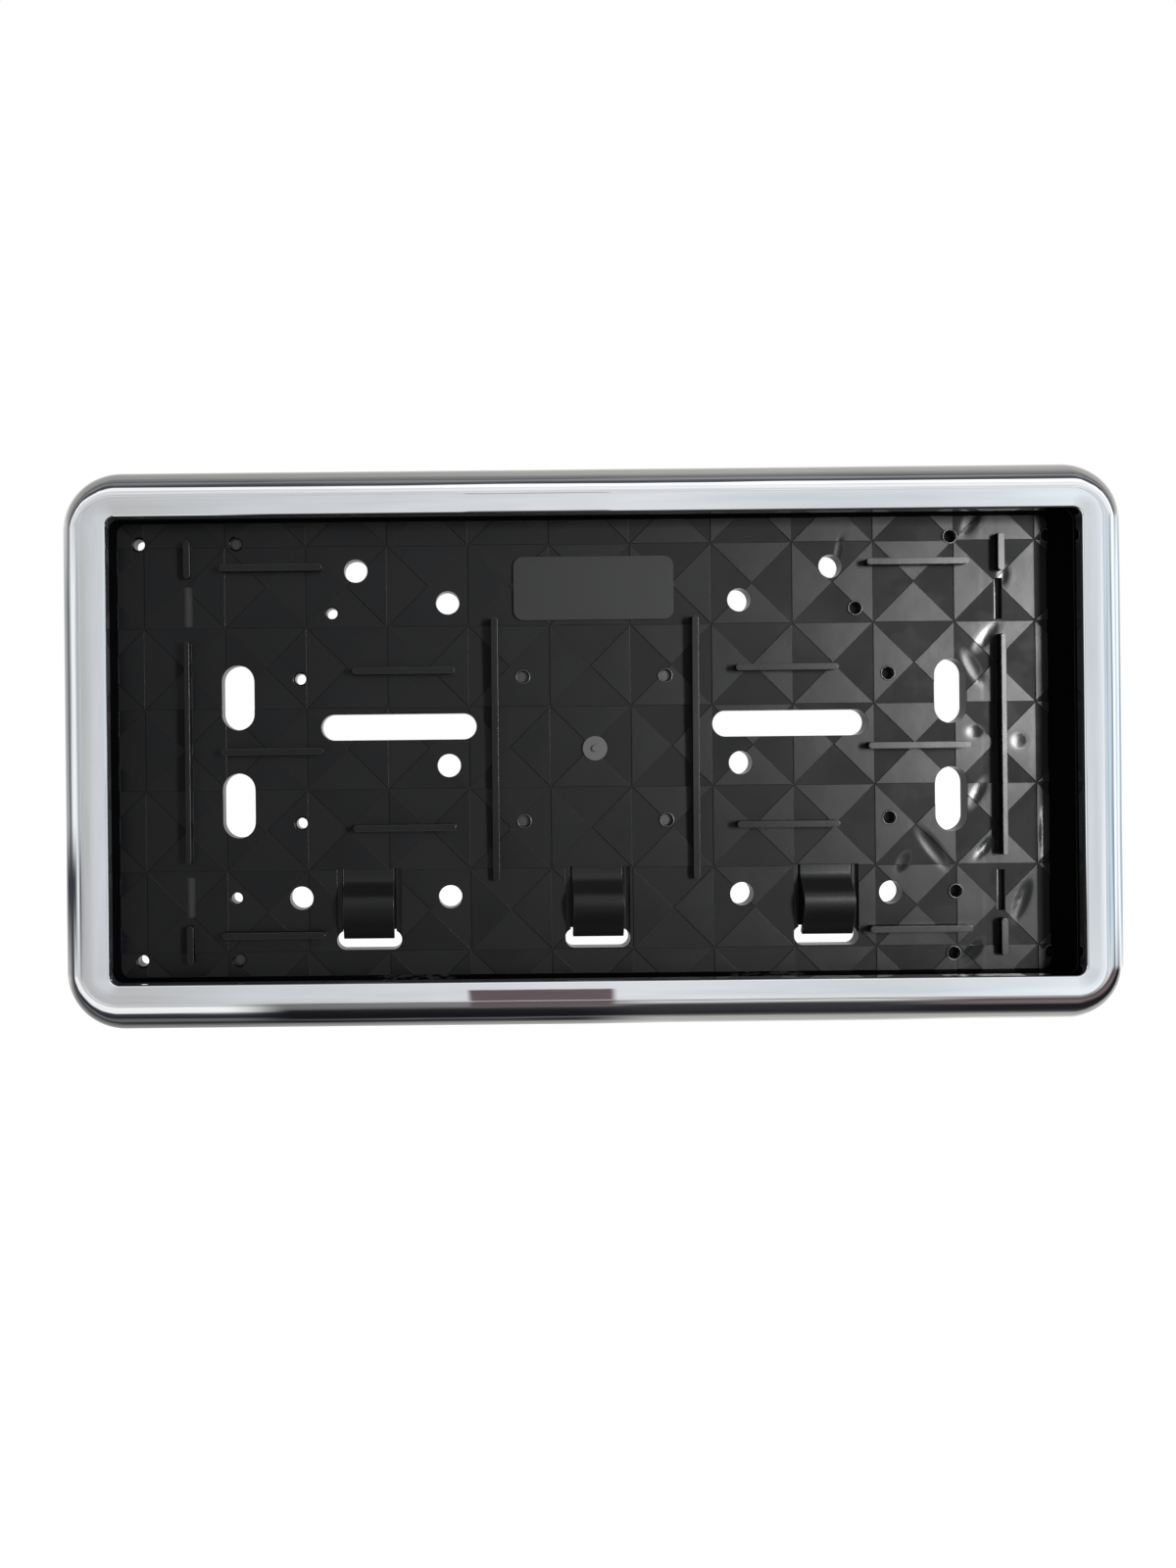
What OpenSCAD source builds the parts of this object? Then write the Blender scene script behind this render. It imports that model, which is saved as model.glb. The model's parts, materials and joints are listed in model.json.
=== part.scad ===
// Number plate holder: a moulded tray with a plated surround snapped over its rim.
// Front faces -Y, +Z is up, and the origin is the middle of the square of bolt holes
// on the plane that the back of the tray bears on. Millimetres.

/* [Plate] */
// Width of the number plate
plate_w = 300; // [240:1:360]
// Height of the number plate
plate_h = 150; // [120:1:180]
// Thickness of the number plate
plate_t = 1.4; // [0.8:0.1:2]
// Room left round the edge of the plate
plate_clear = 1; // [0.5:0.1:2.5]
// How far the surround laps over the ends of the plate
end_lap = 4.2; // [3:0.1:6]
// How far the surround laps over the long edges of the plate
edge_lap = 5.2; // [3:0.1:6]

/* [Tray] */
// How far the tray lies left of the bolt holes
tray_off_x = -1.2; // [-3:0.1:3]
// How far the tray lies above the bolt holes
tray_off_z = 0.6; // [-2:0.1:2]
// Thickness of the floor
floor_t = 2.5; // [1.6:0.1:3]
// Stand-off of the floor from what the holder is bolted to
stand_off = 2.5; // [1.5:0.1:4]
// Depth from the front of the floor to the back of the plate
recess_depth = 7; // [6.5:0.1:12]
// Thickness of the walls
wall_t = 2; // [1.5:0.1:2.5]
// Thickness of the rim round the plate
rim_t = 1.8; // [1.4:0.1:2.4]
// Inward slope of the right wall, foot to top
right_draft = 5.4; // [2:0.1:7]
// Inward slope of the left wall, foot to top
left_draft = 0.9; // [0.5:0.1:5]
// Inward slope of the upper and lower walls, foot to top
level_draft = 0.6; // [0.3:0.1:3]
// Corner radius of the floor
floor_r = 3; // [1:0.1:5]
// How far the rim wall stands above the plate
rim_over = 2.6; // [1.5:0.1:4]
// Thickness of the flange that the surround snaps behind
flange_t = 2; // [1.5:0.1:2.5]
// How far the flange lies behind the ledge
flange_drop = 0.4; // [0:0.1:1]

/* [Fixing holes] */
// Diameter of the bolt holes
bolt_d = 7.2; // [5:0.1:8]
// Spacing of the square of bolt holes, across
square_w = 90; // [84:0.5:96]
// Spacing of the square of bolt holes, up
square_h = 90.8; // [84:0.2:92]
// Height of the middle pair of bolt holes
middle_z = -4.9; // [-6:0.1:-3]
// Spacing of the upper outer bolt holes
upper_w = 146.6; // [140:0.2:150]
// How far the upper outer bolt holes lie in from the plate's upper edge
upper_in = 19.5; // [18:0.1:22]
// Spacing of the lower outer bolt holes
lower_w = 182; // [178:0.5:186]
// Length of the level slots
level_slot_l = 48; // [40:0.5:50]
// Width of the level slots
level_slot_w = 8; // [6:0.1:9]
// Spacing of the level slots
level_slot_gap = 120.8; // [118:0.2:124]
// Height of the level slots
level_slot_z = 7.2; // [6:0.1:9]
// Length of the upright slots
up_slot_l = 20; // [16:0.5:22]
// Width of the upright slots
up_slot_w = 10; // [8:0.1:11]
// How far the upright slots lie in from the plate's ends
up_slot_in = 40; // [38:0.5:42]
// Spacing of the upright slots, up
up_slot_rise = 33.4; // [32:0.2:38]
// Diameter of the screw pilot holes
pilot_d = 3.4; // [2.5:0.1:4]
// Wall of the collar behind a hole
collar_t = 2; // [1.2:0.1:2.5]

/* [Ribs] */
// Height of the ribs above the floor
rib_h = 3.4; // [1.5:0.1:5]
// Thickness of the ribs
rib_t = 2; // [1.4:0.1:2.4]
// Length of the short level ribs
level_rib_l = 31.4; // [24:0.2:34]
// Length of the ribs beside the middle
middle_rib_l = 80.8; // [60:0.2:84]
// Spacing of the ribs beside the middle
middle_rib_gap = 61.6; // [58:0.2:64]
// How far the end ribs lie in from the plate's ends
end_rib_in = 25; // [23:0.5:28]
// How far the long stretch of an end rib stays in from the plate's edges
end_rib_cut = 41; // [40:0.5:46]
// Thickness of the long stretch of an end rib
end_rib_t = 1.5; // [1.2:0.1:2.4]
// Height of the long stretch of an end rib above the floor
end_rib_h = 4.6; // [2:0.1:5]
// Length of the short stretches of an end rib
end_stub_l = 11.6; // [8:0.2:12]
// How far those stretches lie in from the plate's edges, to their middles
end_stub_in = 15.8; // [15:0.2:17]
// Length of the narrow slots in line with the end ribs
strap_l = 12.6; // [10:0.2:14]
// Width of the narrow slots
strap_w = 2.4; // [2:0.1:3]
// How far the narrow slots lie in from the plate's edges, to their middles
strap_in = 30; // [29:0.2:31]

/* [Tongues] */
// Number of spring tongues
tongue_n = 3; // [1:1:3]
// Spacing of the spring tongues
tongue_gap = 70.6; // [66:0.2:74]
// How far the row of tongues lies right of the bolt holes
tongue_off = 0.4; // [-1:0.1:1]
// Width of a tongue
tongue_w = 15.6; // [12:0.1:17]
// Thickness of a tongue
tongue_t = 1.6; // [1.2:0.1:2]
// Width of the slit on each side of a tongue
slit_w = 0.5; // [0.4:0.1:1.2]
// Width of the rebate round a tongue's slits
rebate_w = 1.7; // [0.8:0.1:2]
// Depth of the rebate
rebate_d = 1.2; // [0.5:0.1:1.4]
// Length of the rebate and of the slits
slit_l = 25; // [24:0.1:28]
// Height of the opening below a tongue's tip
foot_gap = 5.7; // [4.5:0.1:7]
// Length of the flat root of a tongue
root_l = 2.3; // [1:0.1:4]
// How far the slits' lower end lies in from the plate's lower edge
slit_in = 13.5; // [12:0.1:15]
// How far a tongue's crest lies above the slits' lower end
crest_up = 14; // [12:0.1:15]
// How far a tongue's tip lies above the slits' lower end
tip_up = 3.9; // [3:0.1:6]
// Level of a tongue's tip above the front of the floor
tip_level = 0; // [-1:0.1:2]
// How far a tongue's crest stands out of the floor
crest_h = 4.1; // [3:0.1:6]

/* [Plaque] */
// Width of the bare raised plaque
plaque_w = 49.4; // [40:0.2:52]
// Height of the bare raised plaque
plaque_h = 19.6; // [14:0.2:20]
// How far the plaque stands out of the floor
plaque_t = 0.6; // [0.3:0.1:1]
// Corner radius of the plaque
plaque_r = 3; // [1:0.1:5]
// How far the middle of the plaque lies in from the plate's upper edge
plaque_in = 25.5; // [24:0.1:27]

/* [Facets] */
// Pitch of the floor's grid of squares
facet_pitch = 25; // [20:0.5:30]
// How far a land stands out of the floor
land_t = 0.2; // [0.1:0.05:0.4]
// Gap between the edges of two lands
land_gap = 0.2; // [0.1:0.05:1]

/* [Surround] */
// Width of the rounded shoulder
shoulder_w = 6.9; // [5:0.1:8]
// Width of the step between band and shoulder
groove_w = 0.5; // [0.3:0.1:0.8]
// Depth of that step
groove_d = 0.35; // [0.1:0.05:0.5]
// Thickness of the surround's shell
shell_t = 1.6; // [1.2:0.1:2]
// Corner radius of the window
window_r = 3; // [2:0.1:6]
// Height of the rounded shoulder
shoulder_h = 10.8; // [8:0.1:12]
// Clearance of the skirt's edge from what the holder is bolted to
skirt_up = 1.5; // [0.5:0.1:3]
// Crown of the flat band
band_crown = 0.35; // [0:0.05:0.6]
// Gap between the surround and the tray's flange
snap_clear = 0.5; // [0.3:0.1:0.8]
// How far a snap lug reaches in from the skirt
lug_reach = 1.5; // [1:0.1:2]
// Length of a snap lug
lug_l = 12; // [6:0.5:16]
// Height of a snap lug
lug_h = 3.6; // [2.5:0.1:5]

/* [Hidden] */
$fn = 48;
over = 1;

// Levels in front of the bearing plane
floor_back = stand_off;
floor_front = floor_back + floor_t;
ledge = floor_front + recess_depth;
ledge_back = ledge - wall_t;
flange_front = ledge_back - flange_drop;
flange_back = flange_front - flange_t;
rim_top = ledge + plate_t + rim_over;
crest = floor_front + crest_h;
tip = floor_front + tip_level;

// Half sizes of the plate, which the features near its edges are placed from
end_x = plate_w / 2;
edge_z = plate_h / 2;
upper_z = edge_z - upper_in;
up_slot_x = end_x - up_slot_in;
end_rib_x = end_x - end_rib_in;
end_rib_l = plate_h - 2 * end_rib_cut;
plaque_z = edge_z - plaque_in;
slit_foot = slit_in - edge_z;
slit_top = slit_foot + slit_l;
crest_z = slit_foot + crest_up;
tip_z = slit_foot + tip_up;
rise_z = slit_top - root_l;
slit_span = tongue_w + 2 * slit_w;
rebate_span = slit_span + 2 * rebate_w;

// Plan sizes of the tray
window_w = plate_w - 2 * end_lap;
window_h = plate_h - 2 * edge_lap;
mouth_gap = 0.8;
mouth_w = window_w + 2 * mouth_gap;
mouth_h = window_h + 2 * mouth_gap;
mouth_r = window_r + mouth_gap;
floor_w = mouth_w - left_draft - right_draft;
floor_h = mouth_h - 2 * level_draft;
floor_shift = (left_draft - right_draft) / 2;
pocket_w = plate_w + 2 * plate_clear;
pocket_h = plate_h + 2 * plate_clear;
pocket_r = window_r + end_lap + plate_clear;
rim_w = pocket_w + 2 * rim_t;
rim_h = pocket_h + 2 * rim_t;
rim_r = pocket_r + rim_t;

// The flat band just covers the rim, and the shoulder rolls off outside it
cover = 0.1;
band_w = max(end_lap, edge_lap) + plate_clear + rim_t + cover - groove_w;
shoulder_in = band_w + groove_w;
front_w = shoulder_in + shoulder_w;
skirt_in = front_w - shell_t;
flange_w = window_w + 2 * (skirt_in - snap_clear);
flange_h = window_h + 2 * (skirt_in - snap_clear);
flange_r = window_r + skirt_in - snap_clear;

// Levels of the surround
band_back = rim_top;
band_front = band_back + shell_t;
shoulder_z = band_front + band_crown - shoulder_h;
lip_clear = 0.3;
lip_foot = ledge + plate_t + lip_clear;
edge_r = 0.7;
shoulder_n = 9;
crown_n = 4;

// Tongue: foot on the floor, crest near the plate and rolled tip
tongue_mid = (floor_back + floor_front) / 2;
tongue_steps = 20;
rise_share = 0.5;

// Pilot holes as [across, up], the same on the left and the right
pilots = [[22, 22.3], [22, -22.3], [90.7, 22.3], [90.7, -22.3], [80.8, 42.5],
    [end_x - 39.8, edge_z - 10.7], [end_x - 39.8, 10.7 - edge_z],
    [end_x - 9.8, edge_z - 10.7], [end_x - 9.8, 10.7 - edge_z], [end_x - 39, -45.2]];
// Short level ribs as [across, up] of their middles
outer_rib_x = end_x - 50.8;
outer_rib_z = edge_z - 18.6;
level_ribs = [[58.8, 24.4], [58.8, -23.8],
    [outer_rib_x, outer_rib_z], [outer_rib_x, 0], [outer_rib_x, -outer_rib_z]];
stub_z = edge_z - end_stub_in;
strap_z = edge_z - strap_in;
chamfer = 0.4;
gate_d = 7.6;
gate_h = 0.5;
nub_d = 2;
nub_h = 1.1;
mirrored = [-1, 1];

// Gap above a snap lug, its flat land, and the lugs' places from the surround's middle
lug_clear = 0.3;
lug_land = 0.8;
lugs_long = [-110, 0, 110];
lugs_short = [-42, 42];

// Points along part of an ellipse
function arc(cx, cy, rx, ry, from, to, n) =
    [for (i = [0:n]) let (a = from + (to - from) * i / n) [cx + rx * cos(a), cy + ry * sin(a)]];

// Rectangle with round corners
module rounded(w, h, r) {
    square([w - 2 * r, h], center = true);
    square([w, h - 2 * r], center = true);
    for (x = mirrored, y = mirrored)
        translate([x * (w / 2 - r), y * (h / 2 - r)])
            circle(r);
}

// Slab with round corners between two levels
module slab(w, h, r, from, to) {
    translate([0, 0, from])
        linear_extrude(to - from)
            rounded(w, h, r);
}

// Block between two levels
module block(w, h, from, to) {
    translate([-w / 2, -h / 2, from])
        cube([w, h, to - from]);
}

// Straight sided slot with round ends, length along x
module slot(l, w, from, to) {
    translate([-(l - w) / 2, -w / 2, from])
        cube([l - w, w, to - from]);
    for (side = mirrored)
        translate([side * (l - w) / 2, 0, from])
            cylinder(d = w, h = to - from);
}

// Loft from the floor's outline to the mouth's, both grown outwards
module recess(grow, from, to) {
    level = 0.01;
    foot_r = floor_r + grow;
    hull() {
        translate([floor_shift, 0, from])
            linear_extrude(level)
                rounded(floor_w + 2 * grow, floor_h + 2 * grow, foot_r, $fn = 32);
        translate([0, 0, to - level])
            linear_extrude(level)
                rounded(mouth_w + 2 * grow, mouth_h + 2 * grow, mouth_r + grow, $fn = 32);
    }
}

// Places of the bolt holes
module at_bolts() {
    for (x = mirrored) {
        for (y = mirrored)
            translate([x * square_w / 2, y * square_h / 2])
                children();
        translate([x * square_w / 2, middle_z])
            children();
        translate([x * upper_w / 2, upper_z])
            children();
        translate([x * lower_w / 2, -square_h / 2])
            children();
    }
}

// Places of the screw pilot holes
module at_pilots() {
    for (x = mirrored, p = pilots)
        translate([x * p[0], p[1]])
            children();
}

// Rib with softened ends
module rib(l, t = rib_t, h = rib_h) {
    slot(l, t, floor_front - over, floor_front + h);
}

module ribs() {
    for (x = mirrored) {
        for (p = level_ribs)
            translate([x * p[0], p[1]])
                rib(level_rib_l);
        translate([x * middle_rib_gap / 2, 0])
            rotate(90)
                rib(middle_rib_l);
        translate([x * end_rib_x, 0])
            rotate(90)
                rib(end_rib_l, end_rib_t, end_rib_h);
        for (y = mirrored)
            translate([x * end_rib_x, y * stub_z])
                rotate(90)
                    rib(end_stub_l);
    }
}

// Places of the narrow slots in line with the end ribs
module at_straps() {
    for (x = mirrored, y = mirrored)
        translate([x * end_rib_x, y * strap_z])
            children();
}

// Collars that stand behind the openings and bear on the car
module collars() {
    at_bolts()
        cylinder(d = bolt_d + 2 * collar_t, h = floor_front);
    at_pilots()
        cylinder(d = pilot_d + 2 * collar_t, h = floor_front);
    for (x = mirrored) {
        translate([x * level_slot_gap / 2, level_slot_z])
            slot(level_slot_l + 2 * collar_t, level_slot_w + 2 * collar_t, 0, floor_front);
        for (y = mirrored)
            translate([x * up_slot_x, y * up_slot_rise / 2])
                rotate(90)
                    slot(up_slot_l + 2 * collar_t, up_slot_w + 2 * collar_t, 0, floor_front);
    }
    at_straps()
        block(strap_w + 2 * collar_t, strap_l + 2 * collar_t, 0, floor_front);
    at_tongues() {
        foot_opening(collar_t, 0, floor_front);
        side_opening(slit_span, collar_t, 0, floor_front);
    }
}

module holes() {
    at_bolts()
        translate([0, 0, -over])
            cylinder(d = bolt_d, h = floor_front + 2 * over);
    at_pilots() {
        translate([0, 0, -over])
            cylinder(d = pilot_d, h = floor_front + 2 * over);
        translate([0, 0, floor_front - chamfer])
            cylinder(d1 = pilot_d, d2 = pilot_d + 4 * chamfer, h = 2 * chamfer);
    }
    for (x = mirrored) {
        translate([x * level_slot_gap / 2, level_slot_z])
            slot(level_slot_l, level_slot_w, -over, floor_front + over);
        for (y = mirrored)
            translate([x * up_slot_x, y * up_slot_rise / 2])
                rotate(90)
                    slot(up_slot_l, up_slot_w, -over, floor_front + over);
    }
    at_straps()
        block(strap_w, strap_l, -over, floor_front + over);
}

module at_tongues() {
    for (i = [0:tongue_n - 1])
        translate([tongue_off + (i - (tongue_n - 1) / 2) * tongue_gap, 0])
            children();
}

// Gap below a tongue's tip, grown outwards
module foot_opening(grow, from, to) {
    translate([0, slit_foot + foot_gap / 2])
        slot(rebate_span + 2 * grow, foot_gap + 2 * grow, from, to);
}

// Room beside a tongue, above the middle of that gap, grown outwards
module side_opening(w, grow, from, to) {
    l = slit_l - foot_gap / 2;
    translate([0, slit_top - l / 2])
        block(w + 2 * grow, l + 2 * grow, from, to);
}

// What is cut out of the floor round a tongue
module tongue_window() {
    foot_opening(0, -over, floor_front + over);
    side_opening(slit_span, 0, -over, floor_front + over);
    side_opening(rebate_span, 0, floor_front - rebate_d, floor_front + over);
}

// Middle line of a tongue as [up, level], from the end of its flat root to its rolled tip
function tongue_line(t) = t < rise_share
    ? let (s = t / rise_share) [rise_z + (crest_z - rise_z) * s,
        tongue_mid + (crest - tongue_t / 2 - tongue_mid) * (1 - cos(180 * s)) / 2]
    : let (s = (t - rise_share) / (1 - rise_share)) [crest_z + (tip_z - crest_z) * s,
        crest - tongue_t / 2 - (crest - tongue_t / 2 - tip) * (1 - cos(90 * s))];

// Point at a distance from the middle line
function tongue_side(t, d) =
    let (e = 0.01, a = tongue_line(max(0, t - e)), b = tongue_line(min(1, t + e)),
        v = b - a, n = [v[1], -v[0]] / norm(v))
    tongue_line(t) + n * d;

module tongue() {
    front = [for (i = [0:tongue_steps]) tongue_side(i / tongue_steps, tongue_t / 2)];
    back = [for (i = [tongue_steps:-1:0]) tongue_side(i / tongue_steps, -tongue_t / 2)];
    root = [[slit_top + over, tongue_mid - tongue_t / 2], [slit_top + over, tongue_mid + tongue_t / 2]];
    translate([-tongue_w / 2, 0, 0])
        rotate([90, 0, 90])
            linear_extrude(tongue_w)
                polygon(concat(root, front, back));
}

// Triangle drawn in from its edges by a distance
function inset(a, b, c, d) =
    let (la = norm(b - c), lb = norm(c - a), lc = norm(a - b), all = la + lb + lc,
        middle = (a * la + b * lb + c * lc) / all,
        inner = abs(cross(b - a, c - a)) / all,
        k = 1 - d / inner)
    [for (p = [a, b, c]) middle + (p - middle) * k];

// One square of the grid: two opposite quarters of it are lands
module land_square(turn) {
    h = facet_pitch / 2;
    for (side = [0, 180])
        rotate(turn + side)
            polygon(inset([0, 0], [-h, h], [h, h], land_gap / 2));
}

// Lands of the floor, turned by a quarter from each square to the next
module lands() {
    across = ceil(floor_w / facet_pitch / 2);
    up = ceil(floor_h / facet_pitch / 2);
    translate([0, 0, floor_front - floor_t / 2])
        linear_extrude(floor_t / 2 + land_t)
            intersection() {
                translate([floor_shift, 0])
                    rounded(floor_w + wall_t, floor_h + wall_t, floor_r + wall_t / 2);
                for (i = [-across:across], j = [-up:up])
                    translate([i * facet_pitch, j * facet_pitch])
                        land_square(abs(i + j) % 2 * 90);
            }
}

// Raised disc where the plastic was injected
module gate_mark() {
    translate([0, 0, floor_front - over]) {
        cylinder(d = gate_d, h = over + gate_h);
        cylinder(d = nub_d, h = over + nub_h);
    }
}

module tray_shell() {
    difference() {
        union() {
            recess(wall_t, floor_back, ledge_back + over / 2);
            slab(rim_w, rim_h, rim_r, flange_back, rim_top);
            slab(flange_w, flange_h, flange_r, flange_back, flange_front);
        }
        slab(pocket_w, pocket_h, pocket_r, ledge, rim_top + over);
        recess(0, floor_front, ledge + over);
        flange_hollow();
    }
}

// Room behind the flange, so that it stays a thin skin
module flange_hollow() {
    difference() {
        slab(pocket_w - over, pocket_h - over, pocket_r, flange_back - over, ledge_back);
        recess(wall_t, floor_back, ledge_back + over / 2);
    }
}

module tray() {
    color([0.09, 0.09, 0.1])
        rotate([90, 0, 0])
            difference() {
                union() {
                    difference() {
                        union() {
                            translate([tray_off_x, tray_off_z]) {
                                tray_shell();
                                lands();
                            }
                            collars();
                        }
                        at_tongues()
                            tongue_window();
                    }
                    at_tongues()
                        tongue();
                    ribs();
                    translate([0, plaque_z])
                        slab(plaque_w, plaque_h, plaque_r, floor_front - over, floor_front + plaque_t);
                    gate_mark();
                }
                holes();
            }
}

// Section of the surround: across from the window's edge, and forward
function surround_section() = concat(
    [[0, lip_foot]],
    arc(edge_r, band_front - edge_r, edge_r, edge_r, 180, 90, 4),
    [for (i = [1:crown_n]) let (s = i / crown_n)
        [edge_r + (band_w - edge_r) * s, band_front + band_crown * sin(90 * s)]],
    [[band_w + groove_w * 0.3, band_front + band_crown - groove_d],
        [band_w + groove_w * 0.7, band_front + band_crown - groove_d]],
    arc(shoulder_in, shoulder_z, shoulder_w, shoulder_h, 90, 0, shoulder_n),
    [[front_w, skirt_up], [skirt_in, skirt_up]],
    arc(shoulder_in, shoulder_z, skirt_in - shoulder_in, band_back - shoulder_z, 0, 90, shoulder_n),
    [[shell_t, band_back], [shell_t, lip_foot]]);

module surround_side(l) {
    translate([-l / 2, 0, 0])
        rotate([90, 0, 90])
            linear_extrude(l)
                polygon(surround_section());
}

module surround_corner() {
    rotate_extrude(angle = 90)
        translate([window_r, 0])
            polygon(surround_section());
}

// Wedge that hooks behind the tray's flange, on the side that faces +y
module lug() {
    top = flange_back - lug_clear;
    translate([-lug_l / 2, 0, 0])
        rotate([90, 0, 90])
            linear_extrude(lug_l)
                polygon([[skirt_in + shell_t / 2, top], [skirt_in - lug_reach, top],
                    [skirt_in - lug_reach, top - lug_land], [skirt_in, top - lug_h],
                    [skirt_in + shell_t / 2, top - lug_h]]);
}

module chrome_frame() {
    color([0.86, 0.87, 0.89])
        rotate([90, 0, 0])
            translate([tray_off_x, tray_off_z]) {
                for (side = mirrored) {
                    rotate(side < 0 ? 180 : 0) {
                        translate([0, window_h / 2]) {
                            surround_side(window_w - 2 * window_r);
                            for (x = lugs_long)
                                translate([x, 0])
                                    lug();
                        }
                    }
                    rotate(side * 90)
                        translate([0, window_w / 2]) {
                            surround_side(window_h - 2 * window_r);
                            for (x = lugs_short)
                                translate([x, 0])
                                    lug();
                        }
                }
                for (turn = [0:3])
                    rotate(turn * 90)
                        translate([(turn % 2 == 0 ? window_w : window_h) / 2 - window_r,
                            (turn % 2 == 0 ? window_h : window_w) / 2 - window_r])
                            surround_corner();
            }
}

tray();
chrome_frame();
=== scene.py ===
import json
import math

import bmesh
import bpy
from mathutils import Matrix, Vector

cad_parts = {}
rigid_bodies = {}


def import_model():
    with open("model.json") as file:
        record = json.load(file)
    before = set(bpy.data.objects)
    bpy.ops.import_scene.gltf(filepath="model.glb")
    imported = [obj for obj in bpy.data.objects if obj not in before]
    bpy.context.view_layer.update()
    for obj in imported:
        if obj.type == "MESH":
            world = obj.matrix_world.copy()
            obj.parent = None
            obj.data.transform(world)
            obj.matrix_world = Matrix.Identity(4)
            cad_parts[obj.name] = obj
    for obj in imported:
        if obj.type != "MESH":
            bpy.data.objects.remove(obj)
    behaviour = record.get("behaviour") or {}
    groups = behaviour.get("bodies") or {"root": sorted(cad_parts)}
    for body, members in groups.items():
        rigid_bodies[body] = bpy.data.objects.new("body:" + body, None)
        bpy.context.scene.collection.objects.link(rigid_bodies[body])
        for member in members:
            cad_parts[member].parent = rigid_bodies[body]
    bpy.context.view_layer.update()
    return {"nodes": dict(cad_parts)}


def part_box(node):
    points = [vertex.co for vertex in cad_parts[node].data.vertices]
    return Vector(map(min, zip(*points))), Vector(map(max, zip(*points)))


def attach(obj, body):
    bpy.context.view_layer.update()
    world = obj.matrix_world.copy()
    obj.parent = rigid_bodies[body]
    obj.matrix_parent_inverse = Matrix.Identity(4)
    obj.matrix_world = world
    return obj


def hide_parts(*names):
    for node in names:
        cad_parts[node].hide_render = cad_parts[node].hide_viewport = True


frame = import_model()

scene = bpy.context.scene
mm = 0.001

# levels are measured forward from the plane that the tray bears on, so a level is -y
trayLow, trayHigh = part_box("tray")
surroundLow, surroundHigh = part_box("chrome_frame")

# camera

cameraSetup = {
    "lens": 26.33,
    "place": (-43.9 * mm, -359.4 * mm, 1.53 * mm),
    "roll": -0.6,  # degrees
    "shift": (0.0863, -0.025),
}


def makeCamera():
    data = bpy.data.cameras.new("camera")
    data.lens = cameraSetup["lens"]
    data.shift_x, data.shift_y = cameraSetup["shift"]
    data.clip_start = 0.01
    camera = bpy.data.objects.new("camera", data)
    scene.collection.objects.link(camera)
    camera.location = cameraSetup["place"]
    upright = Matrix.Rotation(math.radians(90), 4, "X")
    roll = Matrix.Rotation(math.radians(cameraSetup["roll"]), 4, "Z")
    camera.rotation_euler = (upright @ roll).to_euler()
    scene.camera = camera


makeCamera()
print("camera placed")


# node helpers

def setInput(tree, socket, value):
    if isinstance(value, bpy.types.NodeSocket):
        tree.links.new(value, socket)
    else:
        socket.default_value = value


def addMath(tree, operation, first, second=0.0):
    node = tree.nodes.new("ShaderNodeMath")
    node.operation = operation
    setInput(tree, node.inputs[0], first)
    setInput(tree, node.inputs[1], second)
    return node.outputs[0]


def addVectorMath(tree, operation, first, second=None):
    node = tree.nodes.new("ShaderNodeVectorMath")
    node.operation = operation
    tree.links.new(first, node.inputs[0])
    if second is not None:
        tree.links.new(second, node.inputs["Scale"] if operation == "SCALE" else node.inputs[1])
    return node.outputs["Value" if operation in ("LENGTH", "DOT_PRODUCT") else "Vector"]


def splitVector(tree, vector):
    node = tree.nodes.new("ShaderNodeSeparateXYZ")
    tree.links.new(vector, node.inputs[0])
    return tuple(node.outputs)


def addNoise(tree, vector, scale, detail=2.0, roughness=0.5):
    node = tree.nodes.new("ShaderNodeTexNoise")
    setInput(tree, node.inputs["Vector"], vector)
    setInput(tree, node.inputs["Scale"], scale)
    node.inputs["Detail"].default_value = detail
    node.inputs["Roughness"].default_value = roughness
    return node.outputs["Fac"]


def addRange(tree, value, low, high, toLow, toHigh, smooth=False):
    node = tree.nodes.new("ShaderNodeMapRange")
    node.interpolation_type = "SMOOTHSTEP" if smooth else "LINEAR"
    setInput(tree, node.inputs[0], value)
    for socket, number in zip(node.inputs[1:5], (low, high, toLow, toHigh)):
        setInput(tree, socket, number)
    return node.outputs[0]


def addStep(tree, value, start, stop):
    # an eased step from 0 at the start to 1 at the stop
    return addRange(tree, value, start, stop, 0.0, 1.0, True)


def addRamp(tree, value, stops):
    node = tree.nodes.new("ShaderNodeValToRGB")
    setInput(tree, node.inputs[0], value)
    band = node.color_ramp
    while len(band.elements) < len(stops):
        band.elements.new(0.5)
    for element, (place, tone) in zip(band.elements, stops):
        element.position = place
        element.color = (*tone, 1)
    return node.outputs["Color"]


def addMix(tree, factor, first, second, blend="MIX"):
    node = tree.nodes.new("ShaderNodeMix")
    node.data_type = "RGBA"
    node.blend_type = blend
    colours = [s for s in node.inputs if s.type == "RGBA"]
    setInput(tree, node.inputs[0], factor)
    setInput(tree, colours[0], first)
    setInput(tree, colours[1], second)
    return [s for s in node.outputs if s.type == "RGBA"][0]


def startGroup(name, inputs, outputs):
    tree = bpy.data.node_groups.new(name, "ShaderNodeTree")
    kinds = {"vector": "NodeSocketVector", "value": "NodeSocketFloat"}
    for title, kind, value in inputs:
        socket = tree.interface.new_socket(name=title, in_out="INPUT", socket_type=kinds[kind])
        if value is not None:
            socket.default_value = value
    for title, kind in outputs:
        tree.interface.new_socket(name=title, in_out="OUTPUT", socket_type=kinds[kind])
    return tree, tree.nodes.new("NodeGroupInput"), tree.nodes.new("NodeGroupOutput")


def placeGroup(tree, group, values):
    node = tree.nodes.new("ShaderNodeGroup")
    node.node_tree = group
    for title, value in values.items():
        setInput(tree, node.inputs[title], value)
    return node


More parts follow.
